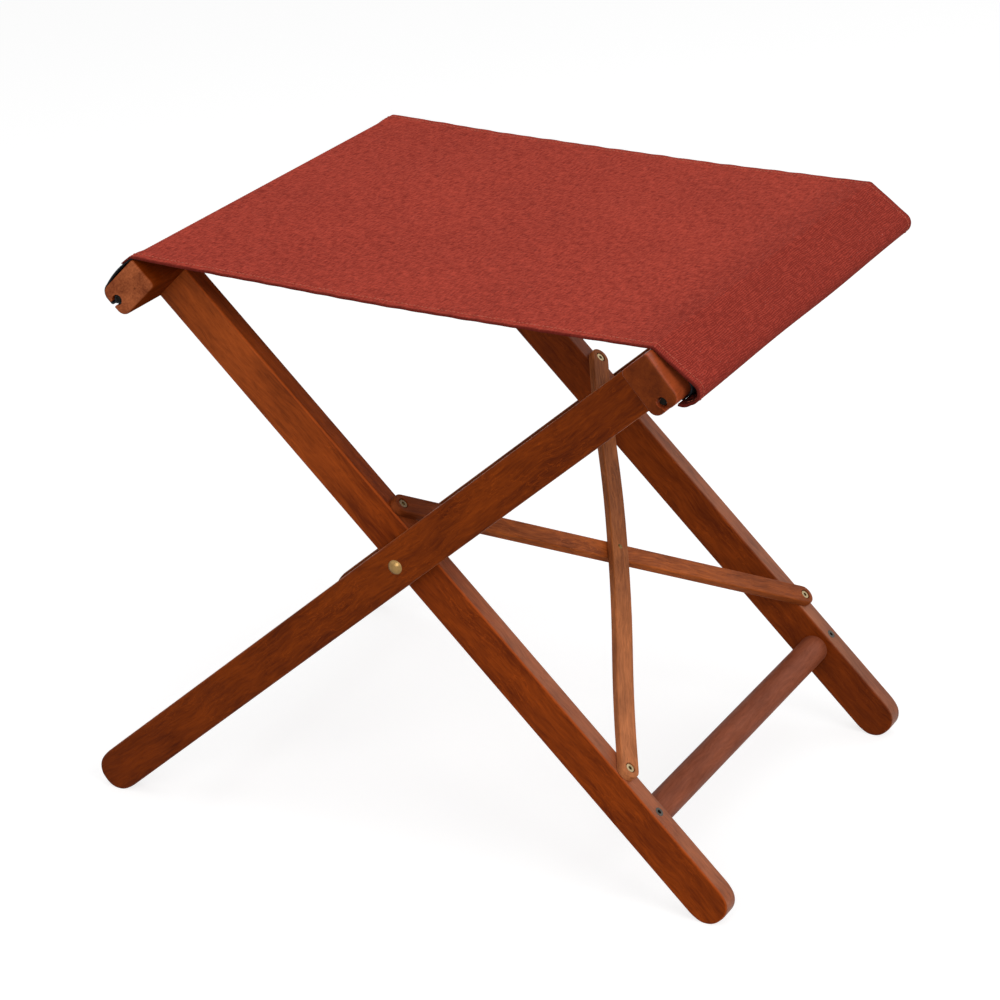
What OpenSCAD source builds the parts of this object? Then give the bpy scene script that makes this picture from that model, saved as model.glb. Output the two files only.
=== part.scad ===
// Folding stool: two crossed wooden frames with a canvas seat slung between their top rails.
// X runs across the seat from rail to rail, Y along the rails, Z up. The origin is on the floor
// under the pivots, half way along the rails. In a leg's own frame X runs up the leg from the
// pivot, Y along the rails from the middle between the legs, and Z across the leg's width.

/* [Legs] */
// Angle of each leg above the floor when the stool is open
leg_angle = 42.6; // [40:0.2:46]
// Width of a leg board
leg_w = 36.5; // [33:0.5:40]
// Thickness of a leg board
leg_t = 19; // [17:0.5:22]
// Length of a leg from the pivot down to the end of its foot
leg_below = 384; // [360:1:410]
// Distance from the pivot up to the middle of the top rail
rail_at = 306.5; // [290:0.5:320]
// Depth over the outer faces of the two outer legs
frame_depth = 438; // [400:1:480]
// Gap between an outer leg and the inner leg beside it
leg_gap = 3; // [2:0.2:4]
// Rounding of the legs' long edges
leg_edge_r = 2.2; // [1:0.1:3]

/* [Feet] */
// Width of the straight part at the end of a foot
foot_flat_w = 3; // [2:0.5:6]
// Radius of the tight curve at each corner of a foot
foot_tip_r = 16; // [10:0.5:17]
// Radius of the long curve that runs from a leg's side into its foot
foot_side_r = 40; // [30:1:60]
// Depth worn flat where a foot stands on the floor
foot_wear = 0.5; // [0.2:0.1:0.8]

/* [Top rails] */
// Width of a rail across the leg
rail_w = 44; // [40:0.5:50]
// Thickness of a rail along the leg
rail_t = 28; // [26:0.5:34]
// Length of both rails in front of the outer front leg
rail_over = 25; // [15:1:40]
// Length of each rail behind the back leg that carries it
rail_back = 3; // [3:1:40]
// How far the middle of the rail lies outside the middle of the leg
rail_drop = 3.5; // [2:0.5:6]
// Radius of the rail's two outer corners
rail_outer_r = 7.5; // [5:0.5:8]
// Radius of the rail's corner under the seat
rail_seat_r = 2.5; // [2.4:0.1:4]
// Radius of the rail's inner corner at the leg
rail_inner_r = 4; // [2.4:0.1:6]
// Rounding of the edges of a rail's end faces
rail_end_r = 2.2; // [1:0.1:2.3]
// Diameter of the bore along the rail that holds the rod
bore_d = 9; // [8:0.5:10]
// Depth of the bore's axis behind the outer narrow face
bore_in = 7.25; // [6.75:0.25:9]
// Width of the slot from the narrow face into the bore
slot_w = 5; // [4:0.5:6]
// Rounding of the slot's two lips
slot_lip_r = 1; // [0.5:0.1:1.5]
// Length of a leg's tenon inside the rail
tenon_l = 20; // [14:1:22]
// Wood left between a tenon and the bore, and at the tenon's other shoulders
tenon_shoulder = 4; // [3:0.5:5]

/* [Stretchers] */
// Diameter of a round stretcher
stretcher_d = 25.5; // [22:0.5:28]
// Distance from the end of a foot up to a stretcher
stretcher_up = 98; // [84:1:109]
// Diameter of the peg at each end of a stretcher
peg_d = 16; // [12:0.5:18]
// Wood left behind a peg in the leg
peg_skin = 4.5; // [3:0.5:6]
// Head diameter of the screws that lock the stretchers
lock_head_d = 7.8; // [6.5:0.1:9]
// Head height of these screws
lock_head_h = 4; // [3:0.5:5]
// Shank diameter of these screws
lock_shank_d = 4.2; // [3.5:0.1:5]
// Length of these screws under the head
lock_len = 19; // [16:0.5:22]

/* [Cross braces] */
// Width of a brace slat
brace_w = 18; // [16:0.5:22]
// Thickness of a brace slat
brace_t = 7; // [6:0.5:9]
// Rounding of a slat's long edges
brace_edge_r = 1.2; // [0.6:0.1:2]
// Distance from the pivot up to the upper brace screws
brace_high_at = 35; // [25:1:50]
// Distance from the end of a foot up to the lower brace screws
brace_low_up = 140; // [129:1:149]
// Straight length next to each screw of the bowed slat
brace_flat = 20; // [14:1:30]
// Half of the straight length where the bowed slat lies on the other
brace_seat = 13; // [12:0.5:18]
// Head diameter of the brace screws
brace_head_d = 7.4; // [6.5:0.1:8.5]
// Head height of the brace screws
brace_head_h = 3; // [2:0.5:4]
// Shank diameter of the brace screws
brace_shank_d = 4; // [3.5:0.1:5]
// Length of the brace screws under the head
brace_screw_len = 20; // [16:1:26]
// Depth of a brace screw's head below the slat's face
brace_head_sink = 0.7; // [0.2:0.1:1]
// Head diameter of the rivet where the slats cross
rivet_head_d = 4.6; // [4:0.1:7]
// Head height of that rivet
rivet_head_h = 0.8; // [0.5:0.1:1.5]
// Shank diameter of that rivet
rivet_d = 2.4; // [2:0.1:3.5]

/* [Pivots] */
// Diameter of a pivot bolt
bolt_d = 6; // [5:0.5:8]
// Diameter of its domed head
bolt_head_d = 12.5; // [11:0.5:16]
// Height of the domed head
bolt_head_h = 2.8; // [2:0.1:4]
// Diameter of the washer between the legs
spacer_d = 16; // [14:0.5:20]
// Diameter of the washer under the nut
nut_washer_d = 14; // [13:0.5:18]
// Thickness of the washer under the nut
nut_washer_t = 1.2; // [0.8:0.1:2]
// Width of the nut across its flats
nut_af = 10; // [10:0.5:13]
// Height of the nut's hexagon
nut_h = 5; // [4:0.5:7]
// Height of the nut's dome
nut_dome_h = 4; // [3:0.5:4.5]

/* [Seat] */
// Distance from the front end of the left rail to the edge of the canvas
sling_front_left = 1; // [1:1:20]
// Distance from the front end of the right rail to the edge of the canvas
sling_front_right = 12; // [1:1:20]
// Distance from the back end of each rail to the edge of the canvas
sling_back = 1; // [1:1:20]
// Thickness of the canvas
canvas_t = 1.2; // [0.8:0.1:1.6]
// Extra thickness of the folded hems
hem_t = 1.2; // [0.8:0.1:1.6]
// Width of the folded hems
hem_w = 12; // [8:1:16]
// Sag of the seat in the middle
seat_sag = 3; // [1:0.5:8]
// Width of the canvas that laps over the left rail's top
lap_w = 2; // [1:1:16]
// Radius of the slack loop of canvas below the right rail's top
loop_r = 9; // [7:0.5:10]
// Distance of the loop's middle past the right rail's top face
loop_out = 2; // [0:0.5:3]
// Distance of the loop's middle inside the right rail's outer narrow face
loop_in = 1.5; // [0:0.5:3]
// Thickness of the black webbing
webbing_t = 1.2; // [0.9:0.1:1.4]
// How much less the webbing's width is than the canvas's at each edge
webbing_setback = 2; // [1:0.5:6]
// Height of the webbing's bow over the left rail's top face
webbing_bow = 3; // [1:0.5:4]
// Height of the webbing's bow under the canvas at the right rail
webbing_bow_right = 1; // [0.5:0.5:1.5]
// Distance from each end of a rail to the end of its rod
rod_setback = 3; // [3:1:20]

/* [Fits] */
// Gap round glued pegs and tenons, and round screws
glue_gap = 0.1; // [0.05:0.05:0.2]
// Radial running gap between an inner leg and its pivot bolt
bolt_gap = 0.06; // [0.02:0.01:0.09]
// Gap between a turning face and the washer beside it
slide_gap = 0.1; // [0.05:0.05:0.2]
// Gap between cloth and what it lies on
cloth_gap = 0.3; // [0.3:0.05:0.5]
// Radial gap round a brace screw's head
recess_gap = 1; // [0.4:0.1:1.2]

/* [Hidden] */
$fn = 96;
eps = 0.01;
over = 1;
side_least = 0.5;
big = 2000;
quarter = 90;
half = 180;
hex_share = 1 / cos(30);
socket_share = 0.43;
socket_depth_share = 0.6;
round_steps = 4;
side_steps = 5;
tip_steps = 10;
corner_steps = 6;
end_steps = 8;
end_step = half / (2 * end_steps + 1);
bend_steps = 10;

leg_half = leg_w / 2;
leg_top = rail_at - rail_t / 2;
outer_y = frame_depth / 2 - leg_t / 2;
inner_y = outer_y - leg_t - leg_gap;

// The foot: a flat end, a tight corner curve and a long side curve, each tangent to the next
foot_across = leg_half - foot_flat_w / 2;
tip_r = min(foot_tip_r, foot_across - side_least);
side_r = max(foot_side_r, foot_across);
foot_along = tip_r + sqrt(pow(side_r - tip_r, 2) - pow(side_r - foot_across, 2));
side_turn = acos((side_r - foot_across) / (side_r - tip_r));
pivot_z = (leg_below - tip_r) * sin(leg_angle) + foot_flat_w / 2 * cos(leg_angle) + tip_r - foot_wear;

// Ends of the rails and edges of the cloth, as Y in the leg frames; the right rail reaches furthest
rail_front = -frame_depth / 2 - rail_over;
right_back = outer_y + leg_t / 2 + rail_back;
left_back = inner_y + leg_t / 2 + rail_back;
legs_y = -(rail_front + right_back) / 2;
cloth_front_left = rail_front + sling_front_left;
cloth_front_right = rail_front + sling_front_right;
cloth_back_right = right_back - sling_back;
cloth_back_left = left_back - sling_back;
rail_top = rail_at + rail_t / 2;
rail_out = -rail_drop - rail_w / 2;
rail_in = -rail_drop + rail_w / 2;
bore_n = rail_out + bore_in;
tenon_lo = bore_n + bore_d / 2 + tenon_shoulder;
tenon_hi = leg_half - tenon_shoulder;
tenon_t = leg_t - 2 * tenon_shoulder;
mortise_spare = 0.5;
tenon_root = 2;

stretcher_at = leg_below - stretcher_up;
peg_l = leg_t - peg_skin;
lock_socket_af = lock_head_d * socket_share;
lock_socket_h = lock_head_h * socket_depth_share;

brace_low_at = leg_below - brace_low_up;
brace_ds = brace_high_at + brace_low_at;
brace_len = sqrt(pow(brace_ds, 2) + pow(2 * inner_y, 2));
brace_turn = atan2(2 * inner_y, brace_ds);
brace_mid_at = (brace_high_at - brace_low_at) / 2;
bow_run = brace_len / 2 - brace_flat - brace_seat;
bow_r = (pow(bow_run, 2) + pow(brace_t, 2)) / (4 * brace_t);
brace_socket_af = brace_head_d * socket_share;
brace_socket_h = brace_head_h * socket_depth_share;
brace_recess_h = brace_head_h + brace_head_sink;

bolt_in = frame_depth / 2 - 2 * leg_t - leg_gap - slide_gap;
nut_bore_spare = 1;
nut_shoulder = 0.4;
nut_in = bolt_in - nut_washer_t;

rod_d = bore_d - 2 * (webbing_t + 2 * cloth_gap);
web_off = cloth_gap + webbing_t / 2;
cloth_off = 2 * cloth_gap + webbing_t + hem_t + canvas_t / 2;
web_tuck = 6;
seat_dir = quarter - leg_angle;
seat_c = [rail_top - rail_seat_r, rail_in - rail_seat_r];
outer_c = [rail_top - rail_outer_r, rail_out + rail_outer_r];
loop_c = [rail_top + loop_out, rail_out + loop_in];
mouth = [rail_at + slot_w / 2, rail_out - cloth_off];
arc_steps = 8;
sag_steps = 24;
bow_steps = 6;

wood = [0.52, 0.27, 0.16];
dark_wood = [0.44, 0.21, 0.13];
canvas = [0.63, 0.24, 0.20];
webbing = [0.09, 0.10, 0.10];
brass = [0.80, 0.66, 0.38];
steel = [0.30, 0.28, 0.26];

// The legs stand behind the middle of the rails, which reach out in front of them
module placed() {
    translate([0, legs_y, 0]) children();
}

// A leg's frame stood up on the floor, for the outer and for the inner frame
module outer_frame() {
    translate([0, 0, pivot_z]) rotate([0, -leg_angle, 0]) children();
}

module inner_frame() {
    translate([0, 0, pivot_z]) mirror([1, 0, 0]) rotate([0, -leg_angle, 0]) children();
}

module both_sides() {
    children();
    mirror([0, 1, 0]) children();
}

// Outlines: each point with its outward direction, anticlockwise
function edge_arc(c, r, from, to, steps, last) = [for (i = [0 : last]) let (
    a = from + (to - from) * i / steps) [[c[0] + r * cos(a), c[1] + r * sin(a)], [cos(a), sin(a)]]];
function flipped(e) = [[e[0][0], -e[0][1]], [e[1][0], -e[1][1]]];
function both_edges(side) = concat(side, [for (i = [len(side) - 1 : -1 : 0]) flipped(side[i])]);

// Levels through a board's thickness: how far the outline draws in, and the height
function round_levels(thick, r) = let (
    low = [for (k = [0 : round_steps]) let (a = quarter * k / round_steps)
        [r * (1 - sin(a)), r * (1 - cos(a)) - thick / 2]])
    concat(low, [for (k = [round_steps : -1 : 0]) [low[k][0], -low[k][1]]]);

// A board with the given outline and rounded edges, its thickness centred on the XY plane
module rounded_board(outline, thick, r, bowed = false) {
    n = len(outline);
    levels = round_levels(thick, r);
    points = [for (l = levels, e = outline) let (p = e[0] - l[0] * e[1])
        [p[0], p[1], l[1] + (bowed ? bow_rise(abs(p[0])) : 0)]];
    sides = [for (k = [0 : len(levels) - 2], i = [0 : n - 1]) let (
        a = k * n + i, b = k * n + (i + 1) % n) each [[a, a + n, b + n], [a, b + n, b]]];
    zig = [for (i = [0 : n - 1]) i % 2 == 0 ? i / 2 : n - 1 - (i - 1) / 2];
    low = [for (i = [0 : n - 3]) i % 2 == 0 ? [zig[i], zig[i + 2], zig[i + 1]]
                                            : [zig[i], zig[i + 1], zig[i + 2]]];
    last = (len(levels) - 1) * n;
    high = [for (f = low) [last + f[2], last + f[1], last + f[0]]];
    polyhedron(points, concat(sides, low, high));
}

// Half of a leg's outline, from its top corner round the foot to the end face
function leg_side() = concat(
    [[[leg_top, leg_half], [0, 1]]],
    edge_arc([foot_along - leg_below, leg_half - side_r], side_r, quarter, quarter + side_turn,
             side_steps, side_steps - 1),
    edge_arc([tip_r - leg_below, foot_flat_w / 2], tip_r, quarter + side_turn, half,
             tip_steps, tip_steps));

module leg_blank() {
    rotate([quarter, 0, 0]) rounded_board(both_edges(leg_side()), leg_t, leg_edge_r);
    translate([leg_top - tenon_root, -tenon_t / 2, tenon_lo])
        cube([tenon_l + tenon_root, tenon_t, tenon_hi - tenon_lo]);
}

// A leg in its own frame with the bores that every leg has; its outer face looks to -Y
module leg(bolt_hole_d) {
    difference() {
        leg_blank();
        rotate([quarter, 0, 0]) cylinder(d = bolt_hole_d, h = 2 * leg_t, center = true);
        translate([-stretcher_at, leg_t / 2 + eps, 0]) rotate([quarter, 0, 0])
            cylinder(d = peg_d + 2 * glue_gap, h = peg_l + glue_gap + eps);
        translate([-stretcher_at, 0, leg_half]) lock_screw_hole();
    }
}

module lock_screw_hole() {
    translate([0, 0, -lock_head_h]) cylinder(d = lock_head_d + 2 * glue_gap, h = lock_head_h + over);
    translate([0, 0, -lock_head_h - lock_len - glue_gap])
        cylinder(d = lock_shank_d + 2 * glue_gap, h = lock_head_h + lock_len);
}

module floor_cut() {
    translate([-big / 2, -big / 2, -big]) cube(big);
}

module outer_leg() {
    difference() {
        outer_frame() translate([0, -outer_y, 0]) leg(bolt_d + 2 * glue_gap);
        floor_cut();
    }
}

module inner_leg() {
    difference() {
        inner_frame() translate([0, -inner_y, 0]) difference() {
            leg(bolt_d + 2 * bolt_gap);
            for (s = [brace_high_at, -brace_low_at]) translate([s, 0, leg_half]) brace_screw_hole();
        }
        floor_cut();
    }
}

module outer_leg_front() {
    color(wood) placed() outer_leg();
}

module outer_leg_back() {
    color(wood) placed() mirror([0, 1, 0]) outer_leg();
}

module inner_leg_front() {
    color(wood) placed() inner_leg();
}

module inner_leg_back() {
    color(wood) placed() mirror([0, 1, 0]) inner_leg();
}

function rail_outline() = let (lo = rail_top - rail_t) concat(
    corner([rail_top, rail_in], [-1, -1], rail_seat_r, 0),
    corner([lo, rail_in], [1, -1], rail_inner_r, quarter),
    corner([lo, rail_out], [1, 1], rail_outer_r, half),
    corner([rail_top, rail_out], [-1, 1], rail_outer_r, half + quarter));
function corner(p, inward, r, from) =
    edge_arc(p + r * inward, r, from, from + quarter, corner_steps, corner_steps);

module groove(length) {
    translate([rail_at, 0, bore_n]) rotate([quarter, 0, 0])
        cylinder(d = bore_d, h = length + 2 * over, center = true);
    translate([rail_at - slot_w / 2, -length / 2 - over, rail_out - over])
        cube([slot_w, length + 2 * over, bore_in + over]);
    translate([rail_at, 0, rail_out]) rotate([quarter, 0, 0])
        linear_extrude(height = length + 2 * over, center = true) slot_flare();
}

module slot_flare() {
    reach = slot_w / 2 + slot_lip_r;
    difference() {
        translate([-reach, -over]) square([2 * reach, slot_lip_r + over]);
        for (side = [-1, 1]) translate([side * reach, slot_lip_r]) circle(r = slot_lip_r, $fn = 12);
    }
}

module mortise(y) {
    translate([leg_top - over, y - tenon_t / 2 - glue_gap, tenon_lo - glue_gap])
        cube([tenon_l + mortise_spare + over, tenon_t + 2 * glue_gap,
              tenon_hi - tenon_lo + 2 * glue_gap]);
}

module rail(leg_y, back) {
    length = back - rail_front;
    difference() {
        translate([0, (back + rail_front) / 2, 0]) difference() {
            rotate([quarter, 0, 0]) rounded_board(rail_outline(), length, rail_end_r);
            groove(length);
        }
        mortise(leg_y);
        mortise(-leg_y);
    }
}

module right_rail() {
    color(wood) placed() outer_frame() rail(outer_y, right_back);
}

module left_rail() {
    color(wood) placed() inner_frame() rail(inner_y, left_back);
}

// A round stretcher with a peg at each end, drilled for its two locking screws
module stretcher(leg_y) {
    length = 2 * leg_y - leg_t;
    translate([-stretcher_at, 0, 0]) difference() {
        rotate([quarter, 0, 0]) union() {
            cylinder(d = stretcher_d, h = length, center = true);
            cylinder(d = peg_d, h = length + 2 * peg_l, center = true);
        }
        for (side = [-1, 1]) translate([0, side * leg_y, leg_half]) lock_screw_hole();
    }
}

module outer_stretcher() {
    color(dark_wood) placed() outer_frame() stretcher(outer_y);
}

module inner_stretcher() {
    color(dark_wood) placed() inner_frame() stretcher(inner_y);
}

// A socket screw, its head's top at the origin and its shank down along -Z
module socket_screw(head_d, head_h, shank_d, length, socket_af, socket_h) {
    difference() {
        union() {
            translate([0, 0, -head_h]) cylinder(d = head_d, h = head_h);
            translate([0, 0, -head_h - length]) cylinder(d = shank_d, h = length + eps);
        }
        translate([0, 0, -socket_h]) cylinder(d = socket_af * hex_share, h = socket_h + over, $fn = 6);
    }
}

module lock_screws(leg_y) {
    for (side = [-1, 1]) translate([-stretcher_at, side * leg_y, leg_half])
        socket_screw(lock_head_d, lock_head_h, lock_shank_d, lock_len, lock_socket_af,
                     lock_socket_h);
}

module outer_stretcher_screws() {
    color(steel) placed() outer_frame() lock_screws(outer_y);
}

module inner_stretcher_screws() {
    color(steel) placed() inner_frame() lock_screws(inner_y);
}

// Braces: slats on the upper edge faces of the inner legs, drawn along X from their middle
module brace_place(side) {
    inner_frame() translate([brace_mid_at, 0, leg_half]) rotate([0, 0, side * brace_turn])
        children();
}

// Half of a slat's outline, from one round end to the other, with points where it bends
function brace_side() = concat(
    edge_arc([brace_len / 2, 0], brace_w / 2, end_step / 2, quarter, end_steps, end_steps),
    [for (i = [bend_steps : -1 : 0]) [[brace_seat + bow_run * i / bend_steps, brace_w / 2], [0, 1]]],
    [for (i = [0 : bend_steps]) [[-brace_seat - bow_run * i / bend_steps, brace_w / 2], [0, 1]]],
    edge_arc([-brace_len / 2, 0], brace_w / 2, quarter, half - end_step / 2, end_steps, end_steps));

// Height of the bowed slat over the flat one at a distance x from the crossing
function bow_rise(x) = let (
    near = x - brace_seat, far = brace_seat + bow_run - x)
    near <= 0 ? brace_t : far <= 0 ? 0 :
    near < far ? brace_t - bow_r + sqrt(pow(bow_r, 2) - pow(near, 2))
               : bow_r - sqrt(pow(bow_r, 2) - pow(far, 2));

module slat(bowed) {
    difference() {
        translate([0, 0, brace_t / 2])
            rounded_board(both_edges(brace_side()), brace_t, brace_edge_r, bowed);
        for (side = [-1, 1]) translate([side * brace_len / 2, 0, 0]) brace_screw_hole();
        rivet_hole();
    }
}

// The hole for a brace screw, from the seat of its head, which is below the slat's face
module brace_screw_hole() {
    translate([0, 0, brace_t - brace_recess_h]) {
        cylinder(d = brace_head_d + 2 * recess_gap, h = brace_recess_h + over);
        translate([0, 0, -brace_screw_len - glue_gap])
            cylinder(d = brace_shank_d + 2 * glue_gap, h = brace_screw_len + over);
    }
}

module rivet_hole() {
    translate([0, 0, -brace_t]) cylinder(d = rivet_d + 2 * glue_gap, h = 4 * brace_t);
}

module brace_straight() {
    color(wood) placed() brace_place(-1) slat(false);
}

module brace_bowed() {
    color(wood) placed() brace_place(1) slat(true);
}

module brace_screws() {
    color(brass) placed() for (turn = [-1, 1]) brace_place(turn) for (side = [-1, 1])
        translate([side * brace_len / 2, 0, brace_t - brace_head_sink])
            socket_screw(brace_head_d, brace_head_h, brace_shank_d, brace_screw_len,
                         brace_socket_af, brace_socket_h);
}

// A dome of base diameter d and height h, its base on the XY plane
module dome(d, h) {
    ball_r = (pow(d / 2, 2) + pow(h, 2)) / (2 * h);
    intersection() {
        translate([0, 0, h - ball_r]) sphere(r = ball_r);
        cylinder(d = d + 2 * over, h = h + over);
    }
}

module brace_rivet() {
    color(brass) placed() brace_place(1) {
        translate([0, 0, 2 * brace_t]) dome(rivet_head_d, rivet_head_h);
        translate([0, 0, glue_gap]) cylinder(d = rivet_d, h = 2 * brace_t);
    }
}

// Pivot hardware, drawn along Z from the outer leg's outer face and turned to point to +Y
module pivot_place() {
    translate([0, -frame_depth / 2, pivot_z]) rotate([-quarter, 0, 0]) children();
}

module pivot_bolt() {
    reach = frame_depth / 2 - nut_in + nut_h;
    pivot_place() {
        mirror([0, 0, 1]) dome(bolt_head_d, bolt_head_h);
        cylinder(d = bolt_d, h = reach);
    }
}

module pivot_bolt_front() {
    color(brass) placed() pivot_bolt();
}

module pivot_bolt_back() {
    color(brass) placed() mirror([0, 1, 0]) pivot_bolt();
}

module washer(d, thick) {
    difference() {
        cylinder(d = d, h = thick);
        translate([0, 0, -over]) cylinder(d = bolt_d + 2 * glue_gap, h = thick + 2 * over);
    }
}

module pivot_spacers() {
    color(brass) placed() both_sides() pivot_place() translate([0, 0, leg_t])
        washer(spacer_d, leg_gap - slide_gap);
}

module nut_washers() {
    color(brass) placed() both_sides() pivot_place() translate([0, 0, frame_depth / 2 - bolt_in])
        washer(nut_washer_d, nut_washer_t);
}

module cap_nuts() {
    color(brass) placed() both_sides() pivot_place() translate([0, 0, frame_depth / 2 - nut_in])
        difference() {
            union() {
                cylinder(d = nut_af * hex_share, h = nut_h, $fn = 6);
                translate([0, 0, nut_h]) dome(nut_af - 2 * nut_shoulder, nut_dome_h);
            }
            translate([0, 0, -over])
                cylinder(d = bolt_d + 2 * glue_gap, h = nut_h + nut_bore_spare + over);
        }
}

// Cloth: lines of points in a rail's own frame or across the stool, thickened into bands
function along(c, r, a) = [c[0] + r * cos(a), c[1] + r * sin(a)];
function arc(c, r, a0, a1) = [for (i = [0 : arc_steps]) along(c, r, a0 + (a1 - a0) * i / arc_steps)];
function level(p, side) = [side * (p[0] * cos(leg_angle) - p[1] * sin(leg_angle)),
                           pivot_z + p[0] * sin(leg_angle) + p[1] * cos(leg_angle)];
function stood(line, side) = [for (p = line) level(p, side)];
function line_normal(line, i) = let (
    a = line[max(i - 1, 0)], b = line[min(i + 1, len(line) - 1)], d = b - a)
    [-d[1], d[0]] / norm(d);
function shifted(line, off) = [for (i = [0 : len(line) - 1]) line[i] + off * line_normal(line, i)];
function turned(line) = [for (i = [len(line) - 1 : -1 : 0]) line[i]];
function bow_at(n, off, bow) = let (x = (seat_c[1] - n) / (seat_c[1] - outer_c[1]))
    [rail_top + off + bow * 4 * x * (1 - x), n];

module band(line, off0, off1, width) {
    rotate([quarter, 0, 0]) linear_extrude(height = width, center = true)
        polygon(concat(shifted(line, off0), turned(shifted(line, off1))));
}

// The canvas from its lap on the left rail, across the seat and round the slack loop on the right
function lap_line() = [for (i = [0 : bow_steps - 1])
    bow_at(seat_c[1] - lap_w * (1 - i / bow_steps), cloth_off, webbing_bow)];
function span_line() = let (
    a = level(along(seat_c, rail_seat_r + cloth_off, seat_dir), -1),
    b = level(along(seat_c, rail_seat_r + cloth_off, seat_dir), 1))
    [for (i = [1 : sag_steps - 1]) let (x = i / sag_steps)
        [a[0] + (b[0] - a[0]) * x, a[1] + (b[1] - a[1]) * x - seat_sag * 4 * x * (1 - x)]];
function tangent_dir() = let (d = loop_c - seat_c, r = rail_seat_r + cloth_off - loop_r)
    atan2(d[1], d[0]) + acos(r / norm(d));
function loop_end_dir() = let (d = mouth - loop_c)
    atan2(d[1], d[0]) + acos(loop_r / norm(d));
function sling_line() = concat(
    stood(lap_line(), -1),
    stood(arc(seat_c, rail_seat_r + cloth_off, 0, seat_dir), -1),
    span_line(),
    stood(arc(seat_c, rail_seat_r + cloth_off, seat_dir, tangent_dir()), 1),
    stood(arc(loop_c, loop_r, tangent_dir(), loop_end_dir()), 1),
    stood([mouth], 1));

// An edge of the canvas seen from above, which slants from one rail to the other
function cloth_edge(y_left, y_right) = [[-big, y_left], [-level(seat_c, 1)[0], y_left],
                                        [level(seat_c, 1)[0], y_right], [big, y_right]];

module cut_to(front, back) {
    intersection() {
        linear_extrude(height = big) polygon(concat(front, turned(back)));
        children();
    }
}

module seat_sling() {
    front = cloth_edge(cloth_front_left, cloth_front_right);
    back = cloth_edge(cloth_back_left, cloth_back_right);
    front_hem = cloth_edge(cloth_front_left + hem_w, cloth_front_right + hem_w);
    back_hem = cloth_edge(cloth_back_left - hem_w, cloth_back_right - hem_w);
    color(canvas) placed() {
        cut_to(front, back) band(sling_line(), canvas_t / 2, -canvas_t / 2, big);
        cut_to(front, front_hem) band(sling_line(), 0, -canvas_t / 2 - hem_t, big);
        cut_to(back_hem, back) band(sling_line(), 0, -canvas_t / 2 - hem_t, big);
    }
}

// The webbing's tube round its rod and its doubled neck out through the slot
module sleeve(width) {
    tube_d = bore_d - 2 * cloth_gap;
    difference() {
        union() {
            translate([rail_at, 0, bore_n]) rotate([quarter, 0, 0])
                cylinder(d = tube_d, h = width, center = true);
            translate([rail_at - webbing_t, -width / 2, rail_out - web_off])
                cube([2 * webbing_t, width, bore_in + web_off]);
        }
        translate([rail_at, 0, bore_n]) rotate([quarter, 0, 0])
            cylinder(d = tube_d - 2 * webbing_t, h = width + 2 * over, center = true);
    }
}

function webbing_line(bow) = let (
    dip = atan(4 * seat_sag / (2 * level(seat_c, 1)[0])),
    top = along(seat_c, rail_seat_r + web_off, seat_dir),
    tuck = top + web_tuck * [-cos(leg_angle - dip), sin(leg_angle - dip)])
    concat([tuck], arc(seat_c, rail_seat_r + web_off, seat_dir, 0),
           [for (i = [1 : bow_steps - 1])
               bow_at(seat_c[1] + (outer_c[1] - seat_c[1]) * i / bow_steps, web_off, bow)],
           arc(outer_c, rail_outer_r + web_off, 0, -quarter),
           [[rail_at, rail_out - web_off]]);

// The sewn strip of webbing at a rail, between the canvas's front and back edges there
module strip(front, back, bow) {
    width = back - front - 2 * webbing_setback;
    translate([0, (front + back) / 2, 0]) {
        sleeve(width);
        band(webbing_line(bow), webbing_t / 2, -webbing_t / 2, width);
    }
}

module left_sleeve() {
    color(webbing) placed() inner_frame() strip(cloth_front_left, cloth_back_left, webbing_bow);
}

module right_sleeve() {
    color(webbing) placed() outer_frame()
        strip(cloth_front_right, cloth_back_right, webbing_bow_right);
}

module rod(back) {
    translate([rail_at, (rail_front + back) / 2, bore_n]) rotate([quarter, 0, 0])
        cylinder(d = rod_d, h = back - rail_front - 2 * rod_setback, center = true);
}

module left_rod() {
    color(steel) placed() inner_frame() rod(left_back);
}

module right_rod() {
    color(steel) placed() outer_frame() rod(right_back);
}

outer_leg_front();
outer_leg_back();
right_rail();
outer_stretcher();
outer_stretcher_screws();
inner_leg_front();
inner_leg_back();
left_rail();
inner_stretcher();
inner_stretcher_screws();
brace_straight();
brace_bowed();
brace_screws();
brace_rivet();
pivot_bolt_front();
pivot_bolt_back();
pivot_spacers();
nut_washers();
cap_nuts();
seat_sling();
left_sleeve();
right_sleeve();
left_rod();
right_rod();
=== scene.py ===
"""Folding sling stool: detailed cloth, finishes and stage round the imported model."""

import math

import bpy
import numpy as np
from mathutils import Matrix, Vector


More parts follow.
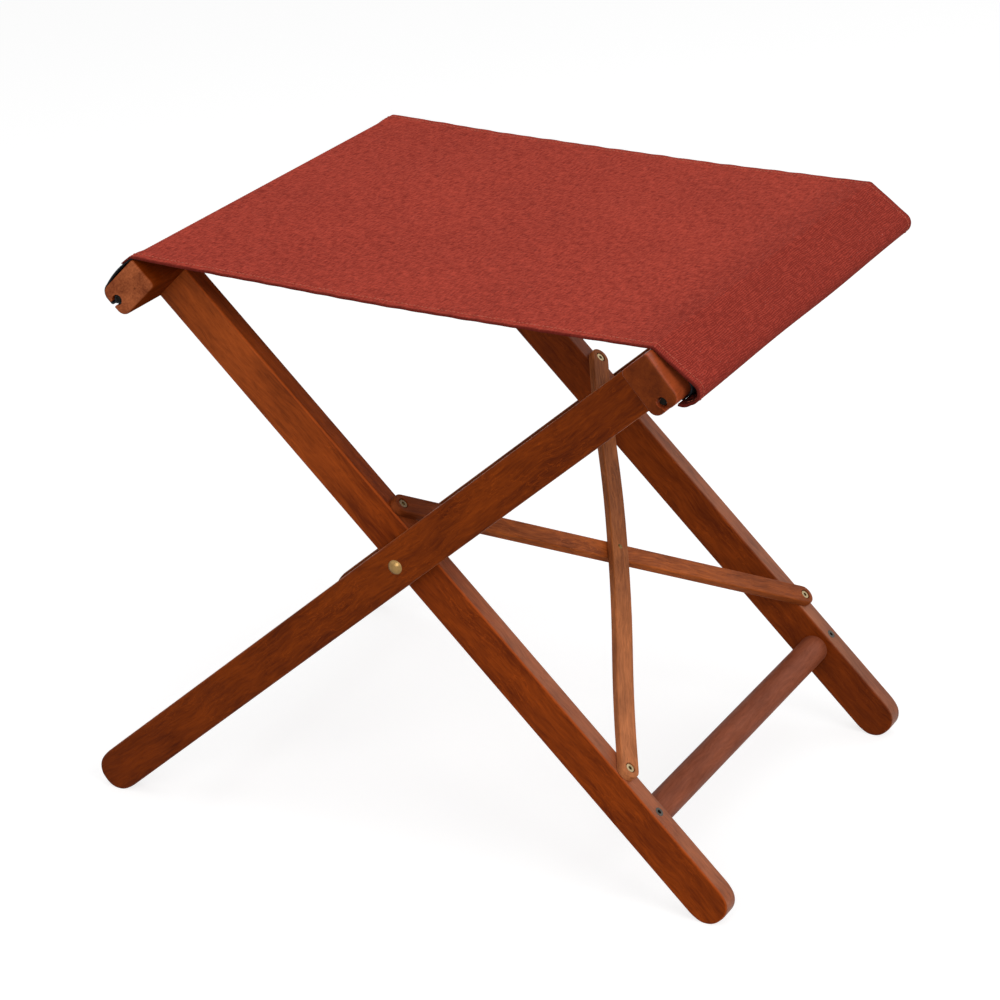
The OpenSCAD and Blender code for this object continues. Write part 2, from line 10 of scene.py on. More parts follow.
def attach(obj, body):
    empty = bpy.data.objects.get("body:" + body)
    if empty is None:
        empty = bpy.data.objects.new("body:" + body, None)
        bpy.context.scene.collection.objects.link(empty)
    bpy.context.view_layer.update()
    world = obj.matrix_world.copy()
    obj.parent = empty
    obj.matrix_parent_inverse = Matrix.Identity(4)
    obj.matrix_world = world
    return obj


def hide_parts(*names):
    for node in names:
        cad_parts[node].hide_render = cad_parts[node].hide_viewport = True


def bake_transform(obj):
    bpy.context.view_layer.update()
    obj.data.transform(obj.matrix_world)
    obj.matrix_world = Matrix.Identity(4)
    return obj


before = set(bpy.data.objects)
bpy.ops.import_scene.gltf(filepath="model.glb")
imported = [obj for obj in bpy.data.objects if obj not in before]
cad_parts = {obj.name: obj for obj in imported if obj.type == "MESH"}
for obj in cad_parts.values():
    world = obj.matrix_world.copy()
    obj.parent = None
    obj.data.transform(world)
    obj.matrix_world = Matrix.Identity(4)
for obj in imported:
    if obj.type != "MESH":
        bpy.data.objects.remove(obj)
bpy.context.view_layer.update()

bl_info = {
    "name": "Folding sling stool",
    "version": (1, 0, 0),
    "blender": (4, 5, 0),
    "location": "View3D > Sidebar > Stool",
    "description": "Dresses a folding stool with canvas, webbing, thread and finishes",
    "category": "Object",
}

MM = 0.001
LEG_ANGLE = math.radians(42.6)
PIVOT_Z = 0.265694
SEAT_Z = 0.4978
SEAT_X = 0.2235

# A rail's section in its leg's frame, in millimetres: along the leg from the pivot, then across it
RAIL_AT, RAIL_T, RAIL_OUT, RAIL_IN = 306.5, 28.0, -25.5, 18.5
RAIL_TOP = RAIL_AT + RAIL_T / 2
SEAT_R, OUTER_R = 2.5, 7.5
SEAT_C = (RAIL_TOP - SEAT_R, RAIL_IN - SEAT_R)
OUTER_C = (RAIL_TOP - OUTER_R, RAIL_OUT + OUTER_R)
BORE_N = -18.25
SEAT_TURN = 90 - math.degrees(LEG_ANGLE)

# The routes of canvas and webbing round the rails, in millimetres
CLOTH_GAP = 0.3
CAD_CLOTH = 1.2
WEB_OFF = CLOTH_GAP + CAD_CLOTH / 2
OFF_LAP, OFF_LEFT, OFF_RIGHT = 2.35, 2.9, 2.1
LAP = 8.0
BOW_LEFT, BOW_RIGHT = 2.0, 1.0
LOOP_C = (RAIL_TOP + 2, RAIL_OUT + 1.5)
LOOP_R = 9.0
LOOP_BULGE = 1.3
MOUTH = (RAIL_AT + 2.5, RAIL_OUT - WEB_OFF - 1.0)
TUCK = 6
LANE = 0.62
LANE_TURN_R = 1.5
LANE_END = 2.5
RING_R = 3.6
RING_START, RING_END = -78.8, 258.8

# The cloth's small shapes and seams, in metres
CANVAS_STEP, WEBBING_STEP = 0.0032, 0.002
SPAN_END, SPAN_FADE = 0.215, 0.05
SPAN_DROP, LOOP_DROP = 0.0195, 0.0173
RIB_WIDTH = 0.0017
WAVE_H, PUCKER_H, SLACK_H, WANDER_H = 0.00045, 0.00022, 0.0006, 0.00012
HEM_STEP, HEM_REACH, HEM_FADE = 0.0009, 0.022, 0.009
EDGE_REACH = 0.012
PRESSED_TO = 0.016
# Where the ribs near the right rail begin along X, and over how much they grow, with their painted shade
RIBS_FROM, RIBS_OVER = 0.186, 0.045
EVEN_EDGE = 0.03
# The hem fold's radius, and how far in from the free edge the fold's painted shade reaches
FOLD_R, FOLD_SHADE = 0.00058, 0.0022
SEAM_FROM, SEAM_SHORT, SEAM_INSET = 0.002, 0.004, 0.004
LAP_SEAMS, LOOP_SEAM = (0.0025, 0.0065), 0.0025
STITCH_RISE, FACE_RISE = 0.0003, 0.00032
STITCH_SHARE, STITCH_SUNK = 0.86, 0.35
CLOTH_SEED = 7

# Each brace runs along the diagonal of a rectangle with these sides, in millimetres
BRACE_TURN = math.degrees(math.atan2(375, 279))
# Place and radius of the small knot on the left rail's front end, and a tone of painted shade for boards
# in shadow
KNOT = ((-0.22105, -0.233, 0.4722), 0.0011)
PAINTED_SHADE = (0.085, 0.0120, 0.0020)

# The camera that took the photograph, in metres, radians and millimetres
CAMERA_AT = (1.181122, -2.415154, 1.395040)
CAMERA_YAW, CAMERA_PITCH, CAMERA_ROLL = -0.4580763, -0.4040451, 0.0115299
CAMERA_LENS = 123.6892

# Each lamp's name, place, aim, width and power
LAMPS = (
    ("lamp_top", (-0.2, 0.3, 2.7), (0, 0, 0.4), 2.2, 12),
    ("lamp_right", (2.6, -1.0, 2.0), (0, 0, 0.3), 2.0, 40),
    ("lamp_front", (0.6, -3.2, 1.9), (0, 0, 0.3), 2.0, 38),
    ("lamp_left", (-2.2, -1.7, 1.9), (0, 0, 0.3), 1.6, 10),
    ("lamp_back", (1.3, 2.7, 1.8), (0, 0, 0.3), 2.2, 15),
)
# Half the floor's side, its grey and its glow where it is seen, and the room's light and seen white
FLOOR_HALF, FLOOR_GREY, FLOOR_GLOW = 8, 0.42, 0.72
ROOM_LIGHT, ROOM_SEEN = 0.4, 1.0


# Sizes and colours


def length_property(name, description, value):
    return bpy.props.FloatProperty(name=name, description=description, default=value, unit="LENGTH")


def colour_property(name, description, value):
    return bpy.props.FloatVectorProperty(
        name=name, description=description, subtype="COLOR", size=3, min=0, max=1,
        default=value)


class StoolSizes(bpy.types.PropertyGroup):
    sling_front_left: length_property("Front edge, left", "Canvas's front edge at the left rail", -0.232)
    sling_front_right: length_property(
        "Front edge, right", "Canvas's front edge at the right rail", -0.221)
    sling_back_left: length_property("Back edge, left", "Canvas's back edge at the left rail", 0.210)
    sling_back_right: length_property("Back edge, right", "Canvas's back edge at the right rail", 0.232)
    seat_sag: length_property("Seat sag", "Sag of the canvas in the middle of the seat", 0.003)
    canvas_thickness: length_property("Canvas thickness", "Thickness of one layer of canvas", 0.001)
    hem_width: length_property("Hem width", "Width of the hem under each free edge", 0.012)
    stitch_inset: length_property("Stitch inset", "From a free edge to its stitches", 0.0075)
    stitch_length: length_property("Stitch length", "Length of one stitch with its gap", 0.0034)
    thread_diameter: length_property("Thread diameter", "Diameter of the sewing thread", 0.00062)
    webbing_setback_left: length_property(
        "Webbing setback, left", "From the canvas's edges to the left webbing's", 0.002)
    webbing_setback_right: length_property(
        "Webbing setback, right", "From the canvas's edges to the right webbing's", 0.0135)
    webbing_thickness: length_property("Webbing thickness", "Thickness of the black webbing", 0.0011)


class StoolColours(bpy.types.PropertyGroup):
    wood_dark: colour_property("Wood, dark", "Dark tone of the stained boards", (0.098, 0.0135, 0.0012))
    wood_light: colour_property(
        "Wood, light", "Light tone of the stained boards", (0.248, 0.041, 0.0034))
    # The next two are painted highlights on the narrow faces, of the inner boards and of the outer
    # boards
    wood_narrow_highlight: colour_property("Wood, rubbed", "Boards' rubbed narrow faces", (0.470, 0.195, 0.100))
    wood_outer_highlight: colour_property("Wood, warm", "Outer boards' rubbed narrow faces", (0.500, 0.165, 0.055))
    brace_dark: colour_property("Slat, dark", "Dark tone of the cross braces", (0.150, 0.032, 0.007))
    brace_light: colour_property("Slat, light", "Light tone of the cross braces", (0.500, 0.125, 0.029))
    stretcher_dark: colour_property(
        "Stretcher, dark", "Dark tone of the stretchers", (0.160, 0.038, 0.015))
    stretcher_light: colour_property(
        "Stretcher, light", "Light tone of the stretchers", (0.300, 0.083, 0.038))
    canvas_dark: colour_property("Canvas, dark", "Dark tone of the canvas", (0.225, 0.0225, 0.0145))
    canvas_light: colour_property("Canvas, light", "Light tone of the canvas", (0.465, 0.058, 0.035))
    thread: colour_property("Thread", "Colour of the sewing thread", (0.520, 0.100, 0.042))
    webbing: colour_property("Webbing", "Colour of the black webbing", (0.011, 0.013, 0.015))
    brass: colour_property("Brass", "Colour of the bolts and nuts", (0.300, 0.180, 0.066))
    screw_brass: colour_property("Screw brass", "Colour of the brace screws", (0.300, 0.225, 0.120))
    steel: colour_property("Steel", "Colour of the rods and locking screws", (0.075, 0.066, 0.056))


# Shader helpers


def fill(tree, made, inputs):
    """Set a node's inputs; each is a value or another node's output."""
    for key, value in inputs.items():
        if isinstance(value, bpy.types.NodeSocket):
            tree.links.new(value, made.inputs[key])
        else:
            made.inputs[key].default_value = value


def put(tree, kind, inputs=None, **settings):
    """A new node of the tree."""
    made = tree.nodes.new("ShaderNode" + kind)
    for name, value in settings.items():
        setattr(made, name, value)
    fill(tree, made, inputs or {})
    return made


def object_place(tree):
    return put(tree, "TexCoord").outputs["Object"]


def toned(colour, share, add=0.0):
    """A constant colour scaled by one number or by three."""
    shares = share if isinstance(share, tuple) else (share,) * 3
    return tuple(min(1, c * s + add) for c, s in zip(colour, shares))


def maths(tree, operation, a, b=0.0, clamp=False):
    return put(tree, "Math", {0: a, 1: b}, operation=operation, use_clamp=clamp).outputs[0]


def times(tree, vector, scale):
    return put(tree, "VectorMath", {0: vector, 1: scale}, operation="MULTIPLY").outputs[0]


def noise(tree, vector, detail=2.0, roughness=0.55, scale=1.0, distortion=0.0):
    return put(tree, "TexNoise", {"Vector": vector, "Scale": scale, "Detail": detail,
                                  "Roughness": roughness, "Distortion": distortion})


def ramped(tree, value, low, high, to_low=0.0, to_high=1.0):
    return put(tree, "MapRange", {0: value, 1: low, 2: high, 3: to_low, 4: to_high}).outputs[0]


def mixed(tree, factor, a, b):
    """Two colours mixed; a constant one has three numbers."""
    a, b = ((*c, 1) if isinstance(c, tuple) else c for c in (a, b))
    return put(tree, "Mix", {0: factor, 6: a, 7: b}, data_type="RGBA").outputs[2]


def new_group(name, inputs, outputs):
    """An empty node group with named sockets: (name, kind, default) in and (name, kind) out."""
    tree = bpy.data.node_groups.new(name, "ShaderNodeTree")
    for label, kind, default in inputs:
        socket = tree.interface.new_socket(label, in_out="INPUT", socket_type="NodeSocket" + kind)
        socket.default_value = default
    for label, kind in outputs:
        tree.interface.new_socket(label, in_out="OUTPUT", socket_type="NodeSocket" + kind)
    start = tree.nodes.new("NodeGroupInput")
    end = tree.nodes.new("NodeGroupOutput")
    return tree, start.outputs, end.inputs


def grain_group():
    """Wood grain that runs along X of its vector, with figure, pores and light flecks."""
    tree, given, out = new_group(
        "Wood grain",
        [("Vector", "Vector", (0, 0, 0)), ("Figure", "Float", 1.0), ("Lines", "Float", 1.0),
         ("Pores", "Float", 1.0), ("Flecks", "Float", 1.0)],
        [("Tone", "Float"), ("Pore mask", "Float"), ("Fleck mask", "Float"), ("Height", "Float")])
    place = given["Vector"]
    wander = noise(tree, times(tree, place, (14, 22, 22)), 2.0).outputs[1]
    pull = put(tree, "VectorMath", {0: wander, 1: (0.5, 0.5, 0.5)}, operation="SUBTRACT").outputs[0]
    pull = times(tree, pull, (0.0, 0.016, 0.016))
    bent = put(tree, "VectorMath", {0: place, 1: pull}, operation="ADD").outputs[0]
    broad = noise(tree, times(tree, bent, (15, 62, 62)), 4.0, 0.6).outputs[0]
    lines = noise(tree, times(tree, bent, (48, 520, 520)), 2.0, 0.6).outputs[0]
    pores = noise(tree, times(tree, bent, (85, 1500, 1500)), 1.0).outputs[0]
    curl = noise(tree, times(tree, bent, (60, 230, 230)), 2.0, 0.5, 1.0, 0.9).outputs[0]
    sparse = noise(tree, times(tree, place, (28, 40, 40)), 1.0).outputs[0]
    hair = maths(tree, "ABSOLUTE", maths(tree, "SUBTRACT", curl, 0.5))
    hair = ramped(tree, hair, 0.0, 0.022, 1.0, 0.0)
    fleck = maths(tree, "MULTIPLY", hair, ramped(tree, sparse, 0.46, 0.62))
    fleck = maths(tree, "MULTIPLY", fleck, given["Flecks"], True)
    pore = maths(tree, "MULTIPLY", ramped(tree, pores, 0.60, 0.74), given["Pores"], True)
    tone = maths(tree, "MULTIPLY", ramped(tree, broad, 0.28, 0.72, -0.5, 0.5), given["Figure"])
    fine = maths(tree, "MULTIPLY", ramped(tree, lines, 0.25, 0.75, -0.5, 0.5), given["Lines"])
    tone = maths(tree, "ADD", maths(tree, "ADD", tone, fine), 0.5, True)
    high = maths(tree, "SUBTRACT", maths(tree, "MULTIPLY", lines, 0.5), pore)
    for label, value in (("Tone", tone), ("Pore mask", pore), ("Fleck mask", fleck), ("Height", high)):
        tree.links.new(value, out[label])
    return tree


def weave_group():
    """A plain weave on X and Y of its vector, with slubs both ways and ribs along Y; the ribs' light and
    dark stripes in the tone are painted light and shade on small ridges.
    """
    tree, given, out = new_group(
        "Cloth weave",
        [("Vector", "Vector", (0, 0, 0)), ("Threads", "Float", 1100.0), ("Slubs", "Float", 1.0),
         ("Ribs", "Float", 0.0)],
        [("Tone", "Float"), ("Height", "Float")])
    place = given["Vector"]
    wander = noise(tree, times(tree, place, (60, 60, 60)), 2.0).outputs[1]
    pull = put(tree, "VectorMath", {0: wander, 1: (0.5, 0.5, 0.5)}, operation="SUBTRACT").outputs[0]
    pull = times(tree, pull, (0.0022, 0.0022, 0.0))
    bent = put(tree, "VectorMath", {0: place, 1: pull}, operation="ADD").outputs[0]
    axes = put(tree, "SeparateXYZ", {0: bent}).outputs
    turn = maths(tree, "MULTIPLY", given["Threads"], math.pi)
    over = maths(tree, "SINE", maths(tree, "MULTIPLY", axes[0], turn))
    across = maths(tree, "SINE", maths(tree, "MULTIPLY", axes[1], turn))
    knit = maths(tree, "MULTIPLY", over, across)
    warp = noise(tree, times(tree, bent, (90, 620, 0)), 2.0, 0.6).outputs[0]
    weft = noise(tree, times(tree, bent, (620, 90, 0)), 2.0, 0.6).outputs[0]
    fuzz = noise(tree, times(tree, place, (430, 430, 0)), 3.0, 0.65, 1.0, 1.2).outputs[0]
    ribs = noise(tree, times(tree, bent, (1150, 80, 0)), 1.5, 0.5, 1.0, 0.4).outputs[0]
    sway = noise(tree, times(tree, place, (75, 38, 0)), 2.0).outputs[0]
    phase = maths(tree, "ADD", maths(tree, "MULTIPLY", axes[0], 2 * math.pi / RIB_WIDTH),
                  maths(tree, "MULTIPLY", sway, 16.0))
    ridge = maths(tree, "MULTIPLY", maths(tree, "SINE", phase), 0.38)
    slub = maths(tree, "ADD", maths(tree, "ADD", warp, weft), fuzz)
    slub = maths(tree, "MULTIPLY", ramped(tree, slub, 1.22, 1.78, -0.5, 0.5), given["Slubs"])
    rib = maths(tree, "ADD", ridge, ramped(tree, ribs, 0.34, 0.66, -0.26, 0.26))
    rib = maths(tree, "MULTIPLY", rib, given["Ribs"])
    tone = maths(tree, "ADD", maths(tree, "ADD", slub, rib), 0.5, True)
    high = maths(tree, "ADD", maths(tree, "MULTIPLY", knit, 0.12), maths(tree, "ADD", slub, rib))
    tree.links.new(tone, out["Tone"])
    tree.links.new(high, out["Height"])
    return tree


def wear_group():
    """Soft smudges and fine scratches, for roughness and a little colour."""
    tree, given, out = new_group(
        "Handling wear",
        [("Vector", "Vector", (0, 0, 0)), ("Smudge size", "Float", 40.0), ("Scratches", "Float", 0.5)],
        [("Smudges", "Float"), ("Scratch mask", "Float")])
    smudge = noise(tree, given["Vector"], 3.0, 0.6, given["Smudge size"]).outputs[0]
    lined = noise(tree, times(tree, given["Vector"], (2600, 320, 700)), 1.0).outputs[0]
    scratch = maths(tree, "MULTIPLY", ramped(tree, lined, 0.62, 0.72), given["Scratches"], True)
    tree.links.new(ramped(tree, smudge, 0.3, 0.7), out["Smudges"])
    tree.links.new(scratch, out["Scratch mask"])
    return tree


def polish_and_lighting_group():
    """How far a face turns away from the stool's front and back, and where its rounded edge is: masks
    for the coat and for painted light and shade.
    """
    tree, given, out = new_group("Edge polish", [("Amount", "Float", 1.0)],
                                 [("Mask", "Float"), ("Arris mask", "Float")])
    normal = put(tree, "NewGeometry").outputs["Normal"]
    facing = maths(tree, "ABSOLUTE", put(tree, "SeparateXYZ", {0: normal}).outputs[1])
    mask = maths(tree, "MULTIPLY", ramped(tree, facing, 0.2, 0.8, 1.0, 0.0), given["Amount"], True)
    arris_highlight = maths(tree, "MULTIPLY", ramped(tree, facing, 0.97, 0.9), ramped(tree, facing, 0.25, 0.4))
    tree.links.new(mask, out["Mask"])
    tree.links.new(arris_highlight, out["Arris mask"])
    return tree


GROUPS = {}


def effect(tree, name, inputs):
    """The named node group placed in a material with its own values."""
    if name not in GROUPS:
        GROUPS[name] = {"grain": grain_group, "weave": weave_group, "wear": wear_group,
                        "polish_and_lighting": polish_and_lighting_group}[name]()
    made = tree.nodes.new("ShaderNodeGroup")
    made.node_tree = GROUPS[name]
    fill(tree, made, inputs)
    return made.outputs


def new_material(name, **shader):
    """A material with one Principled shader whose constant sockets are given."""
    made = bpy.data.materials.new(name)
    made.use_nodes = True
    tree = made.node_tree
    tree.nodes.clear()
    bsdf = put(tree, "BsdfPrincipled", {k.replace("_", " "): v for k, v in shader.items()})
    end = put(tree, "OutputMaterial")
    tree.links.new(bsdf.outputs[0], end.inputs[0])
    return made, tree, bsdf


def feed(tree, bsdf, **sockets):
    for name, value in sockets.items():
        tree.links.new(value, bsdf.inputs[name.replace("_", " ")])


def wood(name, turns, offset, dark, light, narrow_lighting=None, fades=(), highlight_from=None, roughness=0.46,
         figure=0.9, lines=0.65, pores=0.4, flecks=1.0, knot=None, coat=0.12, gloss=0.06,
         arris_highlight=0.0):
    """Stained wood with its grain along X after the turns about Y or Z, in degrees.

    The narrow faces can get a colour of painted light and shade with its share: a painted
    highlight on the legs and the right rail, painted shade on the left rail. Two places along the
    stool's X can say between which that highlight and the coat come in. Each fade is two such
    places, then the share of a colour at the second one, the colour, and how much of that share
    the narrow faces get; the fades paint shade and light along some boards and change the tone
    along others. The rounded edges can get a painted highlight.
    """
    made, tree, bsdf = new_material(name, Specular_IOR_Level=gloss, Coat_Roughness=0.34)
    place = turned = object_place(tree)
    for axis, angle in turns:
        spin = {"y": (0, math.radians(angle), 0), "z": (0, 0, math.radians(angle))}[axis]
        turned = put(tree, "Mapping", {0: turned, 2: spin}).outputs[0]
    moved = put(tree, "Mapping", {0: turned, 1: offset}).outputs[0]
    grain = effect(tree, "grain", {"Vector": moved, "Figure": figure, "Lines": lines,
                                   "Pores": pores, "Flecks": flecks})
    wear = effect(tree, "wear", {"Vector": moved, "Smudge size": 26.0, "Scratches": 0.3})
    colour = mixed(tree, grain["Tone"], dark, light)
    bright = toned(light, 1.5)
    colour = mixed(tree, maths(tree, "MULTIPLY", grain["Fleck mask"], 0.45), colour, bright)
    along = put(tree, "SeparateXYZ", {0: place}).outputs[0]
    polish_and_lighting = effect(tree, "polish_and_lighting", {"Amount": 1.0})
    narrow = polish_and_lighting["Mask"]
    # Painted shade and light along the boards, and some of the wood's own tone, each mixed in towards
    # one end
    for first, last, share, fade_tone, on_narrow in fades:
        grained = mixed(tree, grain["Tone"], toned(fade_tone, 0.65), toned(fade_tone, 1.3))
        amount = ramped(tree, along, first, last, 0.0, share)
        amount = maths(tree, "MULTIPLY", amount, ramped(tree, narrow, 0.0, 1.0, 1.0, on_narrow))
        colour = mixed(tree, amount, colour, grained)
    # Painted highlight: the narrow faces' highlight and coat come in along X, so the upper part in the
    # canvas's shadow keeps little of them
    if highlight_from:
        narrow = maths(tree, "MULTIPLY", narrow, ramped(tree, along, *highlight_from, 0.12, 1.0))
    # Painted light and shade on the narrow faces, a little patchy
    if narrow_lighting:
        tone, share = narrow_lighting
        grained = mixed(tree, grain["Tone"], toned(tone, 0.75), toned(tone, 1.25))
        patchy = ramped(tree, wear["Smudges"], 0.0, 1.0, share - 0.14, share + 0.14)
        colour = mixed(tree, maths(tree, "MULTIPLY", narrow, patchy, True), colour, grained)
    # A painted highlight along the rounded edges
    if arris_highlight:
        colour = mixed(tree, maths(tree, "MULTIPLY", polish_and_lighting["Arris mask"], arris_highlight), colour, bright)
    deep = toned(dark, 0.45)
    colour = mixed(tree, maths(tree, "MULTIPLY", grain["Pore mask"], 0.75), colour, deep)
    if knot:
        centre, radius = knot
        wavy = noise(tree, times(tree, place, (300, 300, 300)), 1.0).outputs[0]
        gap = put(tree, "VectorMath", {0: place, 1: centre}, operation="DISTANCE").outputs["Value"]
        gap = maths(tree, "ADD", gap, maths(tree, "MULTIPLY", wavy, radius * 0.6))
        spot = ramped(tree, gap, radius * 0.6, radius * 1.5, 0.8, 0.0)
        colour = mixed(tree, spot, colour, deep)
    rough = ramped(tree, wear["Smudges"], 0.0, 1.0, roughness - 0.05, roughness + 0.07)
    rough = maths(tree, "ADD", rough, maths(tree, "MULTIPLY", grain["Pore mask"], 0.2))
    bump = put(tree, "Bump", {"Height": grain["Height"], "Strength": 0.25, "Distance": 0.0004})
    feed(tree, bsdf, Base_Color=colour, Roughness=rough, Normal=bump.outputs[0],
         Coat_Weight=maths(tree, "MULTIPLY", narrow, coat))
    return made


def metal(name, colour, roughness):
    """Metal with smudges that dull it and fine scratches."""
    made, tree, bsdf = new_material(name, Metallic=1.0)
    wear = effect(tree, "wear", {"Vector": object_place(tree), "Smudge size": 220.0, "Scratches": 0.6})
    dull = ramped(tree, wear["Smudges"], 0.2, 1.0, 0.0, 0.6)
    tint = mixed(tree, dull, toned(colour, 1), toned(colour, 0.55))
    rough = ramped(tree, wear["Smudges"], 0.0, 1.0, roughness - 0.06, roughness + 0.12)
    rough = maths(tree, "ADD", rough, maths(tree, "MULTIPLY", wear["Scratch mask"], 0.15))
    bump = put(tree, "Bump", {"Height": wear["Scratch mask"], "Strength": 0.15, "Distance": 0.0001})
    feed(tree, bsdf, Base_Color=tint, Roughness=rough, Normal=bump.outputs[0])
    return made


def cloth_place(tree):
    return put(tree, "Attribute", attribute_name="cloth_at").outputs["Vector"]


def canvas_material(colours):
    made, tree, bsdf = new_material("red_canvas", Sheen_Weight=0.04, Sheen_Roughness=0.6,
                                    Specular_IOR_Level=0.04)
    bsdf.inputs["Sheen Tint"].default_value = (0.9, 0.4, 0.3, 1)
    place = cloth_place(tree)
    ribs = put(tree, "Attribute", attribute_name="ribbed_shade").outputs["Fac"]
    weave = effect(tree, "weave", {"Vector": place, "Threads": 1100.0, "Slubs": 1.15, "Ribs": ribs})
    patches = noise(tree, times(tree, place, (9, 9, 0)), 3.0, 0.6).outputs[0]
    patches = ramped(tree, patches, 0.3, 0.7, -0.10, 0.10)
    tone = maths(tree, "ADD", weave["Tone"], patches)
    # Painted shade: the cloth with ribs near the right rail is darker
    tone = maths(tree, "SUBTRACT", tone, maths(tree, "MULTIPLY", ribs, 0.36), True)
    colour = mixed(tree, tone, tuple(colours.canvas_dark), tuple(colours.canvas_light))
    specks = noise(tree, times(tree, place, (330, 330, 0)), 1.0, 0.5, 1.0, 2.0).outputs[0]
    specks = ramped(tree, specks, 0.70, 0.80, 0.0, 0.5)
    colour = mixed(tree, specks, colour, toned(colours.canvas_light, 1.5, 0.02))
    # Painted shade on the hem's fold and under the hem
    folded = put(tree, "Attribute", attribute_name="folded").outputs["Fac"]
    shade = toned(colours.canvas_dark, 0.35)
    colour = mixed(tree, maths(tree, "MULTIPLY", folded, 0.8), colour, shade)
    rough = ramped(tree, weave["Tone"], 0.0, 1.0, 0.95, 0.8)
    bump = put(tree, "Bump", {"Height": weave["Height"], "Strength": 0.55, "Distance": 0.0006})
    feed(tree, bsdf, Base_Color=colour, Roughness=rough, Normal=bump.outputs[0])
    return made


def webbing_material(colours):
    made, tree, bsdf = new_material("black_webbing", Sheen_Weight=0.02, Specular_IOR_Level=0.12)
    place = times(tree, cloth_place(tree), (1, 1, 0))
    weave = effect(tree, "weave", {"Vector": place, "Threads": 900.0, "Slubs": 0.7, "Ribs": 0.5})
    colour = mixed(tree, weave["Tone"], tuple(colours.webbing), toned(colours.webbing, 2.4, 0.004))
    rough = ramped(tree, weave["Tone"], 0.0, 1.0, 0.62, 0.5)
    bump = put(tree, "Bump", {"Height": weave["Height"], "Strength": 0.5, "Distance": 0.0005})
    feed(tree, bsdf, Base_Color=colour, Roughness=rough, Normal=bump.outputs[0])
    return made


def thread_material(colour):
    made, tree, bsdf = new_material("red_thread", Sheen_Weight=0.2, Specular_IOR_Level=0.3)
    twist = noise(tree, times(tree, object_place(tree), (2400, 2400, 2400)), 1.0).outputs[0]
    tint = mixed(tree, ramped(tree, twist, 0.3, 0.7), toned(colour, 0.6), tuple(colour))
    rough = ramped(tree, twist, 0.3, 0.7, 0.75, 0.55)
    bump = put(tree, "Bump", {"Height": twist, "Strength": 0.4, "Distance": 0.0001})
    feed(tree, bsdf, Base_Color=tint, Roughness=rough, Normal=bump.outputs[0])
    return made


def finish_nodes(material, *names):
    for name in names:
        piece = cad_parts[name]
        piece.data.materials.clear()
        piece.data.materials.append(material)


# Cloth geometry


def standing(points, side):
    """Points (s, n) of a rail's own frame, in millimetres, as X and Z of the stool in metres."""
    s, n = np.asarray(points, float).T
    x = side * (s * math.cos(LEG_ANGLE) - n * math.sin(LEG_ANGLE)) * MM
    z = PIVOT_Z + (s * math.sin(LEG_ANGLE) + n * math.cos(LEG_ANGLE)) * MM
    return np.stack([x, z], 1)


def arc(centre, radius, start, end, step=6.0):
    """Points of an arc, angles in degrees."""
    count = max(2, int(math.ceil(abs(end - start) / step)) + 1)
    a = np.radians(np.linspace(start, end, count))
    return np.stack([centre[0] + radius * np.cos(a), centre[1] + radius * np.sin(a)], 1)


def bowed(n, off, bow):
    """Points over a rail's top face, with a bow between its two corners."""
    x = (SEAT_C[1] - n) / (SEAT_C[1] - OUTER_C[1])
    return np.stack([RAIL_TOP + off + bow * 4 * x * (1 - x), n], 1)


def tangent_angle(centre, target, near_r):
    """Direction from a centre at which a straight run touches, given the radius difference."""
    d = (target[0] - centre[0], target[1] - centre[1])
    return math.degrees(math.atan2(d[1], d[0]) + math.acos(near_r / math.hypot(*d)))


def sling_line(sag):
    """The middle of the canvas in X and Z, from its lap on the left rail to the right groove."""
    lap_n = np.linspace(SEAT_C[1] - LAP, SEAT_C[1], 9)
    lap = bowed(lap_n, np.linspace(OFF_LAP, OFF_LEFT, 9), BOW_LEFT)[:-1]
    left = arc(SEAT_C, SEAT_R + OFF_LEFT, 0, SEAT_TURN)
    leave = tangent_angle(SEAT_C, LOOP_C, SEAT_R + OFF_RIGHT - LOOP_R)
    end = tangent_angle(LOOP_C, MOUTH, LOOP_R)
    right = arc(SEAT_C, SEAT_R + OFF_RIGHT, SEAT_TURN, leave)
    loop = arc(LOOP_C, LOOP_R, leave, end - 360 if end > leave else end)
    a, b = standing(left[-1:], -1)[0], standing(right[:1], 1)[0]
    t = np.linspace(0, 1, 131)[1:-1]
    span = a + (b - a) * t[:, None] - np.stack([0 * t, sag * 4 * t * (1 - t)], 1)
    down = np.linspace(right[-1], loop[0], 9)[1:-1]
    back = np.linspace(loop[-1], MOUTH, 9)[1:]
    run = back[-1] - loop[-1]
    out = np.array([run[1], -run[0]]) / np.hypot(*run)
    out = out * np.sign(out @ (loop[-1] - np.array(LOOP_C)))
    back = back + out * LOOP_BULGE * np.sin(np.linspace(0, math.pi, 9)[1:, None])
    return np.concatenate([standing(lap, -1), standing(left, -1), span, standing(right, 1),
                           standing(down, 1), standing(loop, 1), standing(back, 1)])


